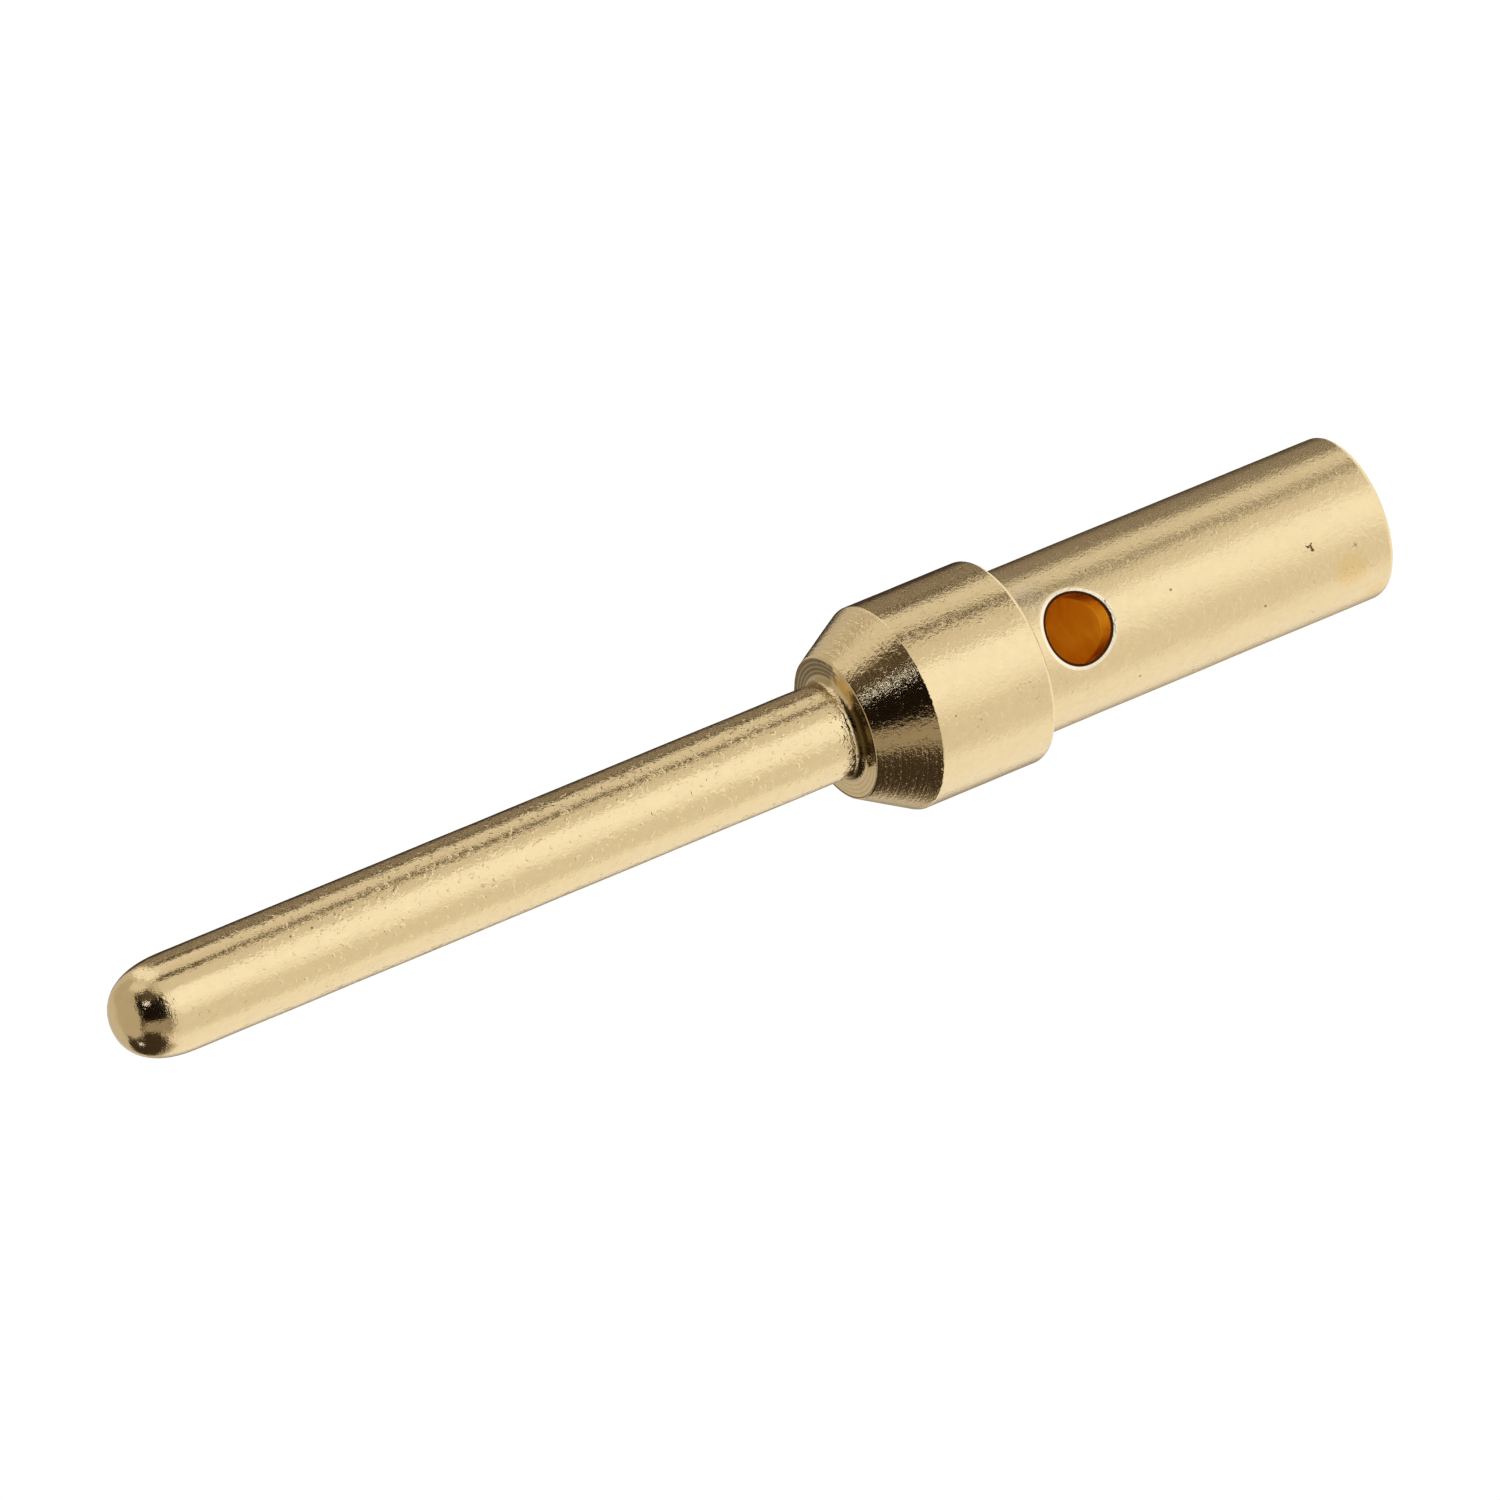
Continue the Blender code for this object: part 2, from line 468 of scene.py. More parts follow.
# %% Bend squares into a circle round the hole
sides = given["Sides"]
side_angle = maths("DIVIDE", 2 * pi, sides)
column = maths("WRAP", maths("ROUND", (grid_y + 0.5) * sides), sides * 0.5, sides * -0.5)
plain_turn = column * side_angle
row_away = maths("ABSOLUTE", patch_row)
column_away = maths("ABSOLUTE", column)
ring = maths("MAXIMUM", maths("MAXIMUM", row_away, column_away), 0.5)
round_angle = maths("MINIMUM", row_away, column_away) / ring * (pi / 4)
wide = maths("GREATER_THAN", column_away + 0.5, row_away)
circle_x = maths("SIGN", column) * blend(maths("SINE", round_angle), maths("COSINE", round_angle), wide)
circle_z = maths("SIGN", patch_row) * blend(maths("COSINE", round_angle), maths("SINE", round_angle), wide)

outside = maths("GREATER_THAN", radius, (given["Barrel radius"] + given["Bore radius"]) * 0.5)
circle_radius = given["Hole radius"] + given["Hole rim"] * outside
circle_turn = maths("ARCSINE", circle_radius * circle_x / maths("MAXIMUM", radius, given["Bore radius"]))
circle_height = given["Hole height"] + circle_radius * circle_z
square_turn = plain_turn * cells / ring
square_height = given["Hole height"] + (height - given["Hole height"]) * cells / ring
share = (ring - given["Hole cells"]) / maths("MAXIMUM", cells - given["Hole cells"], 1.0)
in_patch = maths("GREATER_THAN", cells + 0.5, ring) * maths("GREATER_THAN", cells, 0.5)
turn = blend(plain_turn, blend(circle_turn, square_turn, share), in_patch)
bent_height = blend(height, blend(circle_height, square_height, share), in_patch)

# %% [markdown]
# Wrapping is one line of trigonometry. The squares inside the circle are then deleted: a face counts as
# inside when its vertices' ring numbers average less than the circle's. Rows outside the patches have no ring
# number of their own, so they get one that is far too large.


# %% Wrap the grid round the axis and open the hole
FAR_RING = 999.0


def set_position(geometry, position):
    """Put each vertex at the place that a vector field gives."""
    return output(place_node(
        turning, "GeometryNodeSetPosition", {"Geometry": geometry, "Position": position}))


ring_number = ring + FAR_RING * maths("LESS_THAN", cells, 0.5)
capture = turning.nodes.new("GeometryNodeCaptureAttribute")
capture.domain = "POINT"
capture.capture_items.new("FLOAT", "Ring")
feed(capture.inputs["Geometry"], index_grid(row_count, maths("ADD", sides, 1.0)))
feed(capture.inputs["Ring"], ring_number)
wrapped = set_position(output(capture, "Geometry"), joined(
    radius * maths("SINE", turn), -(radius * maths("COSINE", turn)), bent_height))
inside_hole = maths("LESS_THAN", output(capture, "Ring"), given["Hole cells"])
opened = output(place_node(turning, "GeometryNodeDeleteGeometry", {
    "Geometry": wrapped, "Selection": inside_hole}, domain="FACE"))

# %% [markdown]
# The hole's wall starts at its rim on the barrel. The rim is a shallow countersink, and then the wall runs in
# to the bore. The barrel is round, so its surface falls away to the hole's left and right, and the rim
# follows it: the depth is taken from the barrel's circle above each point.

# %% Make the hole's wall
hole_sides = given["Hole cells"] * 8.0
wall_row = (grid_x + 0.5) * (given["Rim rows"] + given["Wall rows"])
around = (grid_y + 0.5) * (2 * pi)
down_rim = maths("MINIMUM", wall_row / given["Rim rows"], 1.0)
inward = maths("MAXIMUM", (wall_row - given["Rim rows"]) / given["Wall rows"], 0.0)
wall_radius = given["Hole radius"] + given["Hole rim"] * (1.0 - down_rim)
rim_depth = given["Rim depth"] * down_rim
across = wall_radius * maths("COSINE", around)


def surface_distance(surface_radius):
    """How far a round surface lies from the axis, above a place across it."""
    return maths("SQRT", surface_radius * surface_radius - across * across)


outer_distance = surface_distance(given["Barrel radius"]) - rim_depth
wall_distance = blend(outer_distance, surface_distance(given["Bore radius"]), inward)
wall_height = given["Hole height"] + wall_radius * maths("SINE", around)
wall_grid = index_grid(given["Rim rows"] + given["Wall rows"] + 1.0, hole_sides + 1.0)
hole_wall = set_position(wall_grid, joined(across, -wall_distance, wall_height))
hole_wall = output(place_node(turning, "GeometryNodeFlipFaces", {"Mesh": hole_wall}))

# %% [markdown]
# Welding closes the seam, the two poles on the axis and the joints between grids. The weld's distance is far
# smaller than any cell. Last, the plating's slight waviness is real relief of up to nine micrometres. It is
# pressed inwards along each vertex's normal, so that the part never grows, and drawn out along the axis.

# %% Weld, add waves, and finish the tree
WELD = 0.00005 * MM
DRAWN_OUT = (1.0, 1.0, 0.5)
join = turning.nodes.new("GeometryNodeJoinGeometry")
for geometry in (opened, hole_wall):
    turning.links.new(geometry.socket, join.inputs["Geometry"])
welded = output(place_node(turning, "GeometryNodeMergeByDistance", {
    "Geometry": output(join), "Distance": WELD}))
drawn_out = place_node(turning, "ShaderNodeVectorMath", {
    0: output(turning.nodes.new("GeometryNodeInputPosition")), 1: DRAWN_OUT}, operation="MULTIPLY")
waves = place_node(turning, "ShaderNodeTexNoise", {
    "Vector": output(drawn_out), "W": given["Seed"], "Scale": maths("DIVIDE", 1.0, given["Wave length"]),
    "Detail": 2.0}, noise_dimensions="4D")
normal = output(turning.nodes.new("GeometryNodeInputNormal"))
wave_offset = output(place_node(turning, "ShaderNodeVectorMath", {
    0: normal, "Scale": -(output(waves) * given["Wave height"])}, operation="SCALE"))
waved = output(place_node(turning, "GeometryNodeSetPosition", {"Geometry": welded, "Offset": wave_offset}))
smooth = output(place_node(turning, "GeometryNodeSetShadeSmooth", {"Geometry": waved}))
realized = output(place_node(turning, "GeometryNodeRealizeInstances", {"Geometry": smooth}))
plated = output(place_node(turning, "GeometryNodeSetMaterial", {
    "Geometry": realized, "Material": given["Plating"]}))
group_output = turning.nodes.new("NodeGroupOutput")
feed(group_output.inputs["Contact"], plated)
print("turning tree has", len(turning.nodes), "nodes")

# %% [markdown]
# ## The gold plating
# Hard gold over nickel on a machined part is bright but never a mirror: it copies the tool marks and the
# crystal grain beneath it. So it needs a metal of gold's own colour, a low roughness that varies a little,
# and fine relief of several kinds: grain, nodules that grew in the bath, a few pits, and the tool's rings
# round the axis. Each is a noise read in millimetres on Object coordinates, so the pattern keeps its scale
# wherever the part is used.

# %% Start the plating's material
plating = bpy.data.materials.new("gold_plating")
plating.use_nodes = True
plating_tree = plating.node_tree
shader = plating_tree.nodes["Principled BSDF"]
object_place = output(plating_tree.nodes.new("ShaderNodeTexCoord"), "Object")
in_mm = output(place_node(plating_tree, "ShaderNodeVectorMath", {
    0: object_place, "Scale": 1.0 / MM}, operation="SCALE"))
mm_x, mm_y, mm_z = split(in_mm)
mm_radius = maths("SQRT", mm_x * mm_x + mm_y * mm_y)


def noise(place, scale, detail=2.0, roughness=0.5):
    """Soft random values, between about 0.2 and 0.8."""
    return output(place_node(place.tree, "ShaderNodeTexNoise", {
        "Vector": place, "Scale": scale, "Detail": detail, "Roughness": roughness}))


# %% [markdown]
# Relief this fine, a few thousandths of a millimetre, is far smaller than the mesh's cells, so it is a bump.
# It isn't the same all over, and masks tell where it changes: fields that are 1 in a place and 0 outside it.
# Nodules are strongest on the pin, where the current in the plating bath is densest, but its nose was
# polished. The cone was cut with a coarser feed than the rest, so its rings are deeper. The bore is smooth
# from its drill. The waves press the surface in by up to nine micrometres, so its mask reaches past them.

# %% Places with a relief of their own
NOSE_STARTS = (TIP_Z - 1.45, TIP_Z - 0.85)
CONE_STARTS = (collar_front_z - 0.02, collar_front_z + 0.04)
CONE_ENDS = (SHOULDER_Z - 0.03, SHOULDER_Z - 0.01)
BORE_REACH = BORE_RADIUS + 0.020
on_nose = smooth_step(mm_z, *NOSE_STARTS)
on_pin = maths("GREATER_THAN", mm_z, SHOULDER_Z + 0.01)
on_cone = smooth_step(mm_z, *CONE_STARTS) * smooth_step(mm_z, *CONE_ENDS, 1.0, 0.0)
on_barrel = maths("LESS_THAN", mm_z, COLLAR_REAR_Z)
in_bore = maths("LESS_THAN", mm_radius, BORE_REACH) * maths("LESS_THAN", mm_z, DRILL_TIP_Z + 0.1)

# %% [markdown]
# Heights are in millimetres, and the patterns' scales are in features per millimetre. A nodule rises where
# its noise is high. Pits are a few cells of a Voronoi pattern, chosen by the cell's own random colour. Along
# the axis the strokes are four times finer than across it.

# %% Relief of the plating
GRAIN_SCALE = 26.0
SPECKLE_SCALE = 70.0
NODULE_SCALE = 18.0
RING_SCALE = 24.0
STROKE_SCALE = 30.0
STROKE_STRETCH = 0.25
NODULE_EDGE = (0.55, 0.76)
PIT_SCALE = 6.0
PIT_CHOICE = 0.9
PIT_EDGE = (0.06, 0.13)
GRAIN_HEIGHT = 0.0032
SPECKLE_HEIGHT = 0.0014
RING_HEIGHT = 0.0005
CONE_RING_HEIGHT = 0.0028
STROKE_HEIGHT = 0.0005
NODULE_HEIGHT = 0.0031
PIT_DEPTH = 0.004
NODULES_OFF_PIN = 0.45
NODULES_LOST_ON_NOSE = 0.6
GRAIN_LOST_ON_NOSE = 0.4
RELIEF_LOST_IN_BORE = 0.92
grain = noise(in_mm, GRAIN_SCALE, roughness=0.6)
speckle = noise(in_mm, SPECKLE_SCALE, detail=1.0)
nodule = smooth_step(noise(in_mm, NODULE_SCALE, detail=1.0), *NODULE_EDGE)
tool_rings = noise(joined(mm_radius, 0.0, mm_z), RING_SCALE, detail=3.0)
strokes = noise(joined(mm_x * STROKE_STRETCH, mm_y * STROKE_STRETCH, mm_z), STROKE_SCALE)
cell = place_node(plating_tree, "ShaderNodeTexVoronoi", {"Vector": in_mm, "Scale": PIT_SCALE})
chosen = maths("GREATER_THAN", split(output(cell, "Color"))[0], PIT_CHOICE)
pit = chosen * smooth_step(output(cell, "Distance"), *PIT_EDGE, 1.0, 0.0) * (1.0 - on_nose)
nodule_height = NODULE_HEIGHT * blend(NODULES_OFF_PIN, 1.0, on_pin) * (1.0 - on_nose * NODULES_LOST_ON_NOSE)
ring_height = RING_HEIGHT + on_cone * CONE_RING_HEIGHT
coarseness = 1.0 - on_nose * GRAIN_LOST_ON_NOSE
calm = 1.0 - in_bore * RELIEF_LOST_IN_BORE
relief = (grain * GRAIN_HEIGHT + speckle * SPECKLE_HEIGHT + nodule * nodule_height) * coarseness
relief = (relief + tool_rings * ring_height + strokes * STROKE_HEIGHT - pit * PIT_DEPTH) * calm
bump = place_node(plating_tree, "ShaderNodeBump", {"Height": relief, "Strength": 1.0, "Distance": MM})

# %% [markdown]
# The inspection hole is drilled and then countersunk. Its rim gets a paler gold, which is a painted
# highlight, and a dark hair line just inside it, which is painted shade. Both are masks on the distance from
# the hole's own axis.

# %% Where the colour differs at the inspection hole: painted highlight and painted shade
HAIR = 0.003
WALL_STARTS = (HOLE_RADIUS + 0.004, HOLE_RADIUS + 0.008)
RIM_CUT = (BARREL_RADIUS - 0.040, BARREL_RADIUS - 0.020)
hole_away = maths("SQRT", mm_x * mm_x + (mm_z - HOLE_Z) * (mm_z - HOLE_Z))
in_front = maths("LESS_THAN", mm_y, -BORE_RADIUS * 0.5)
edge_shade_radius = HOLE_RADIUS + EDGE_SHADE_WIDTH
rim_radius = HOLE_RADIUS + HOLE_RIM
# Painted highlight: a paler gold on the countersunk rim.
rim_highlight = in_front * smooth_step(hole_away, edge_shade_radius - HAIR, edge_shade_radius + HAIR)
rim_highlight = rim_highlight * smooth_step(hole_away, rim_radius - 0.010, rim_radius + HAIR, 1.0, 0.0)
# Partly painted light: the hole's wall gets a deeper amber, for light bounced in the bore.
in_wall = in_front * smooth_step(hole_away, *WALL_STARTS, 1.0, 0.0)
in_wall = in_wall * smooth_step(mm_radius, BORE_REACH - 0.002, BORE_REACH + 0.002)
# Painted shade: a near-black hair line just inside the rim.
edge_shade = in_front * smooth_step(hole_away, edge_shade_radius - HAIR, edge_shade_radius + HAIR, 1.0, 0.0)
edge_shade = edge_shade * smooth_step(mm_radius, *RIM_CUT)

# %% [markdown]
# Contacts are tumbled by the thousand, and knock against each other. This one has two nicks and a stain near
# its crimp end, and a worn patch beside the collar. A round spot would look painted on, so noise is added to
# the distance from its middle, and that breaks its outline. Dark flecks lie where a broad, slow noise is
# high, and in the worn patch.


# %% Marks on the barrel
# place on the surface, size and raggedness
NICK = ((-0.140, -0.854, 0.953), 0.036, 5.0)
SMALL_NICK = ((-0.293, -0.814, 0.456), 0.020, 5.0)
STAIN = ((-0.512, -0.697, 0.533), 0.20, 1.0)
SMALL_STAIN = ((-0.787, -0.358, 0.199), 0.12, 1.0)
WORN_PATCH = ((0.46, -0.72, 3.98), 0.20, 2.0)
RAGGED_SCALE = 30.0
FLECK_SCALE = 34.0
FLECK_EDGE = (0.64, 0.70)
FLECKED_AREA_SCALE = 2.6
FLECKED_AREA_EDGE = (0.58, 0.70)
# how strongly each one shows
FLECKED_AREA_SHARE = 0.6
FLECK_SHARE = 0.55
SMALL_NICK_SHARE = 0.6


def mark(place, size, raggedness):
    """An uneven spot round a place, in millimetres: 1 within its size, and 0 outside."""
    away = place_node(plating_tree, "ShaderNodeVectorMath", {0: in_mm, 1: place}, operation="DISTANCE")
    uneven = output(away, "Value") + (noise(in_mm, RAGGED_SCALE) - 0.5) * (raggedness * size)
    return smooth_step(uneven, size * 0.6, size * 1.2, 1.0, 0.0)


stain = maths("MAXIMUM", mark(*STAIN), mark(*SMALL_STAIN))
worn_patch = mark(*WORN_PATCH)
flecked_area = smooth_step(noise(in_mm, FLECKED_AREA_SCALE), *FLECKED_AREA_EDGE) * FLECKED_AREA_SHARE
flecks = smooth_step(noise(in_mm, FLECK_SCALE, detail=1.0), *FLECK_EDGE)
flecks = flecks * maths("MAXIMUM", flecked_area, worn_patch) * FLECK_SHARE
dark_mark = maths("MAXIMUM", mark(*NICK), maths("MAXIMUM", mark(*SMALL_NICK) * SMALL_NICK_SHARE, flecks))

# %% [markdown]
# Painted shade lies in the corner at the pin's root and in the furrows of the rings on the shoulder's face:
# a brown colour that stands in for the dark this corner shows, darker on some sides round the axis than on
# others. First comes where it lies: on the face and halfway up the root fillet. It has a ragged edge, so
# noise is added to the angle round the axis, which is 0 towards -Y.

# %% Painted shade in the corner at the pin's root
RAGGED_ANGLE = 40.0
RAGGED_ANGLE_SCALE = 9.0
HALFWAY_UP = PIN_RADIUS + 0.5 * ROOT_FILLET
at_root = smooth_step(mm_z, SHOULDER_Z - 0.020, SHOULDER_Z - 0.012)
at_root = at_root * smooth_step(mm_z, SHOULDER_Z + 0.5 * ROOT_FILLET, SHOULDER_Z + ROOT_FILLET, 1.0, 0.0)
at_root = at_root * smooth_step(mm_radius, SHOULDER_RADIUS - 0.016, SHOULDER_RADIUS - 0.006, 1.0, 0.0)
on_face = smooth_step(mm_radius, HALFWAY_UP, PIN_RADIUS + ROOT_FILLET)
angle = maths("ARCTAN2", mm_x, -mm_y) * (180 / pi)
angle = angle + (noise(in_mm, RAGGED_ANGLE_SCALE) - 0.5) * RAGGED_ANGLE
front = smooth_step(angle, 12.0, 22.0, 1.0, 0.0) * smooth_step(angle, -48.0, -40.0)
upper_side = smooth_step(angle, 44.0, 56.0)
lower_side = smooth_step(angle, -50.0, -42.0, 1.0, 0.0)

# %% [markdown]
# In front the painted shade is dark, but lighter in the middle of the face. On the upper side it is dark too,
# with lighter rings. On the lower side it is light, with dark rings, and with a line at the rim and one at
# the root.

# %% How dark the painted shade is
FURROW_PITCH = 0.045
FRONT_SHADE = 0.92
LOST_IN_THE_MIDDLE = 0.35
UPPER_SHADE = 0.90
LOST_IN_UPPER_RINGS = 0.24
UPPER_SHADE_ON_FILLET = 0.40
LOWER_SHADE = 0.10
ADDED_IN_LOWER_RINGS = 0.26
LOWER_LINES = 0.85
furrow = maths("SINE", mm_radius * (2 * pi / FURROW_PITCH))
rim_line = smooth_step(mm_radius, SHOULDER_RADIUS - 0.030, SHOULDER_RADIUS - 0.018)
root_line = smooth_step(mm_radius, PIN_RADIUS + 0.030, PIN_RADIUS + 0.045, 1.0, 0.0)
face_middle = smooth_step(mm_radius, 0.61, 0.65) * smooth_step(mm_radius, 0.69, 0.72, 1.0, 0.0)
front_shade = front * (FRONT_SHADE - face_middle * LOST_IN_THE_MIDDLE)
upper_rings = UPPER_SHADE - smooth_step(furrow, 0.0, 0.8) * LOST_IN_UPPER_RINGS
upper_shade = upper_side * blend(UPPER_SHADE_ON_FILLET, upper_rings, on_face)
lower_rings = LOWER_SHADE + smooth_step(furrow, 0.45, 0.95) * ADDED_IN_LOWER_RINGS
lower_lines = maths("MAXIMUM", rim_line, root_line) * LOWER_LINES
lower_shade = lower_side * maths("MAXIMUM", lower_rings, lower_lines)
# Painted shade: the root's brown, dark in front and on the upper side, and in rings on the lower side.
root_shade = at_root * maths("MAXIMUM", front_shade, maths("MAXIMUM", upper_shade, lower_shade))

# %% [markdown]
# The colours are mixed in the order of their size, from the one that covers the whole contact to the ones
# that lie on a hair line. What is seen of the bore has bounced between its walls several times. Gold takes
# blue away at each bounce, so the bore looks amber. The bore's and the hole wall's colours are also deeper
# and brighter than the plating's, so their amber is partly real bounces and partly painted bounce light.

# %% Colour of the plating
GOLD = (0.905, 0.722, 0.420)
# Painted highlight colour, for the hole's rim.
RIM_HIGHLIGHT_GOLD = (1.0, 0.89, 0.68)
# Painted shade colour, for the hair line inside the hole's rim.
EDGE_SHADE_BROWN = (0.05, 0.018, 0.006)
PIT_GOLD = (0.45, 0.32, 0.15)
# Painted shade colour, for the corner at the pin's root.
ROOT_SHADE_BROWN = (0.11, 0.062, 0.008)
# Partly painted light: the wall's and the bore's golds are deeper and brighter than the plating.
WALL_GOLD_AND_BOUNCE_LIGHT = (0.92, 0.60, 0.13)
BORE_GOLD_AND_BOUNCE_LIGHT = (1.0, 0.785, 0.33)
BORE_MOTTLE_AND_BOUNCE_LIGHT = (0.95, 0.68, 0.18)
NICK_BROWN = (0.16, 0.075, 0.03)
STAIN_GOLD = (0.91, 0.66, 0.30)
WORN_GOLD = (0.86, 0.73, 0.52)
MOTTLING = 0.17
MOTTLING_SCALE = 11.0
STAIN_SHARE = 0.7
WORN_SHARE = 0.5
BORE_RING_SCALE = 9.0
BORE_RING_STRETCH = 0.4
BORE_RING_EDGE = (0.40, 0.60)


def mix_colour(below, above, share):
    """Lay one colour over another, as far as the share says."""
    node = place_node(plating_tree, "ShaderNodeMix", data_type="RGBA")
    feed(node.inputs["Factor"], share)
    for socket, colour in ((node.inputs["A"], below), (node.inputs["B"], above)):
        feed(socket, colour if isinstance(colour, Field) else (*colour, 1.0))
    return output(node, "Result")


tone = 1.0 + (noise(in_mm, MOTTLING_SCALE, detail=3.0, roughness=0.65) - 0.5) * MOTTLING
tinted = place_node(plating_tree, "ShaderNodeVectorMath", {0: GOLD, "Scale": tone}, operation="SCALE")
colour = mix_colour(output(tinted), PIT_GOLD, pit)
colour = mix_colour(colour, STAIN_GOLD, stain * STAIN_SHARE)
colour = mix_colour(colour, WORN_GOLD, worn_patch * WORN_SHARE)
colour = mix_colour(colour, NICK_BROWN, dark_mark)
colour = mix_colour(colour, ROOT_SHADE_BROWN, root_shade)
bore_place = joined(mm_x * BORE_RING_STRETCH, mm_y * BORE_RING_STRETCH, mm_z)
bore_rings = smooth_step(noise(bore_place, BORE_RING_SCALE), *BORE_RING_EDGE)
bore_colour_and_bounce_light = mix_colour(BORE_GOLD_AND_BOUNCE_LIGHT, BORE_MOTTLE_AND_BOUNCE_LIGHT, bore_rings)
colour = mix_colour(colour, bore_colour_and_bounce_light, in_bore)
colour = mix_colour(colour, WALL_GOLD_AND_BOUNCE_LIGHT, in_wall)
colour = mix_colour(colour, EDGE_SHADE_BROWN, edge_shade)
colour = mix_colour(colour, RIM_HIGHLIGHT_GOLD, rim_highlight)
feed(shader.inputs["Base Color"], colour)

# %% [markdown]
# The pin and the collar are polished brightest. The barrel is a little duller, and where the root is painted
# with shade it is duller still.

# %% Roughness of the plating
ROUGHNESS = 0.11
GRAIN_ADDS = 0.05
BARREL_ADDS = 0.10
BORE_ADDS = 0.02
ROOT_SHADE_ADDS = 0.12
roughness = ROUGHNESS + grain * GRAIN_ADDS + on_barrel * BARREL_ADDS + in_bore * BORE_ADDS + root_shade * ROOT_SHADE_ADDS
feed(shader.inputs["Roughness"], roughness)
feed(shader.inputs["Normal"], output(bump))
shader.inputs["Metallic"].default_value = 1.0
print("plating tree has", len(plating_tree.nodes), "nodes")

# %% [markdown]
# ## Run the tree
# The modifier's inputs are set by each socket's identifier before Blender first works the tree out. Then the
# result is kept as a plain mesh, and the modifier goes.


# %% Turn the contact
def run_tree(piece, tree, values):
    """Run a node tree on a piece, and keep what it makes as the piece's own mesh."""
    modifier = piece.modifiers.new(tree.name, "NODES")
    modifier.node_group = tree
    for item in tree.interface.items_tree:
        if item.in_out == "INPUT" and item.name in values:
            modifier[item.identifier] = values[item.name]
    evaluated = piece.evaluated_get(bpy.context.evaluated_depsgraph_get())
    mesh = bpy.data.meshes.new_from_object(evaluated)
    mesh.name = piece.name
    piece.modifiers.remove(modifier)
    piece.data = mesh
    return mesh


contact_mesh = run_tree(contact, turning, {**SIZES, "Plating": plating})

# %% [markdown]
# Smooth shading would bend the light round the barrel's mouth, so an edge is marked sharp where its faces
# turn by more than 40 degrees. Then the mesh is counted: a closed one has no open edge, and its volume is
# positive only when its faces point outwards.

# %% Keep true edges sharp
SHARP_ANGLE = 40.0
contact_mesh.set_sharp_from_angle(angle=radians(SHARP_ANGLE))

# %% Check that the mesh is closed and faces outwards
check = bmesh.new()
check.from_mesh(contact_mesh)
open_edges = [edge for edge in check.edges if not edge.is_manifold]
volume = check.calc_volume(signed=True)
triangles = sum(len(face.verts) - 2 for face in check.faces)
print("triangles", triangles, "open edges", len(open_edges), "volume in mm3", round(volume / MM ** 3, 3))
check.free()
spread = np.array([vertex.co for vertex in contact_mesh.vertices]) / MM
print("box in mm", spread.min(axis=0).round(3).tolist(), spread.max(axis=0).round(3).tolist())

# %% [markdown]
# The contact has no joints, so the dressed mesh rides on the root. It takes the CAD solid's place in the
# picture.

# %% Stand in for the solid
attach(contact, "root")
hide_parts("pin_contact")

# %% [markdown]
# ## The studio
# Polished metal shows nothing but its surroundings, so the surroundings are the real light here. They could
# be lamps and cards hung round the part, but these would stand in the way of other views. A World drawn in
# nodes does the same with directions only: a pale tent, with brighter and darker cards at an azimuth and an
# elevation, each with soft edges. Azimuth 0 is towards -Y, where the hole looks, and positive is towards +X.

# %% Directions in the World
studio = bpy.data.worlds.new("studio")
bpy.context.scene.world = studio
studio.use_nodes = True
studio_tree = studio.node_tree
background = studio_tree.nodes["Background"]
towards = output(studio_tree.nodes.new("ShaderNodeTexCoord"), "Generated")
to_x, to_y, to_z = split(towards)
azimuth = maths("ARCTAN2", to_x, -to_y) * (180 / pi)
elevation = maths("ARCSINE", to_z) * (180 / pi)


def hang_card(level, corners, softness, brightness):
    """Put a soft-edged card in front of what is there already.

    Its corners go round it anticlockwise, as (azimuth, elevation) in degrees.
    """
    middle = sum(corner[0] for corner in corners) / len(corners)
    sideways = maths("WRAP", azimuth - middle, 180.0, -180.0)
    place = joined(sideways, elevation, 1.0)
    mask = 1.0
    for start, end in zip(corners, corners[1:] + corners[:1]):
        along = (Vector(end) - Vector(start)).normalized()
        offset = along.y * (start[0] - middle) - along.x * start[1]
        inwards = place_node(studio_tree, "ShaderNodeVectorMath", {
            0: place, 1: (-along.y, along.x, offset)}, operation="DOT_PRODUCT")
        mask = mask * smooth_step(output(inwards, "Value"), -softness / 2, softness / 2)
    return blend(level, brightness, mask)


def upright(left, right, low, high):
    """The corners of a card between two azimuths and two elevations."""
    return [(left, low), (right, low), (right, high), (left, high)]


# %% [markdown]
# The turned shapes tell where each card belongs. Seen from the camera, every cylinder mirrors only the circle
# of directions 25 degrees below the horizon. The cone mirrors an arc that rises to 34 degrees above it, and
# the nose mirrors nearly all directions. So the low cards make the long bands, and the dark windows make the
# black patches on nose and cone.

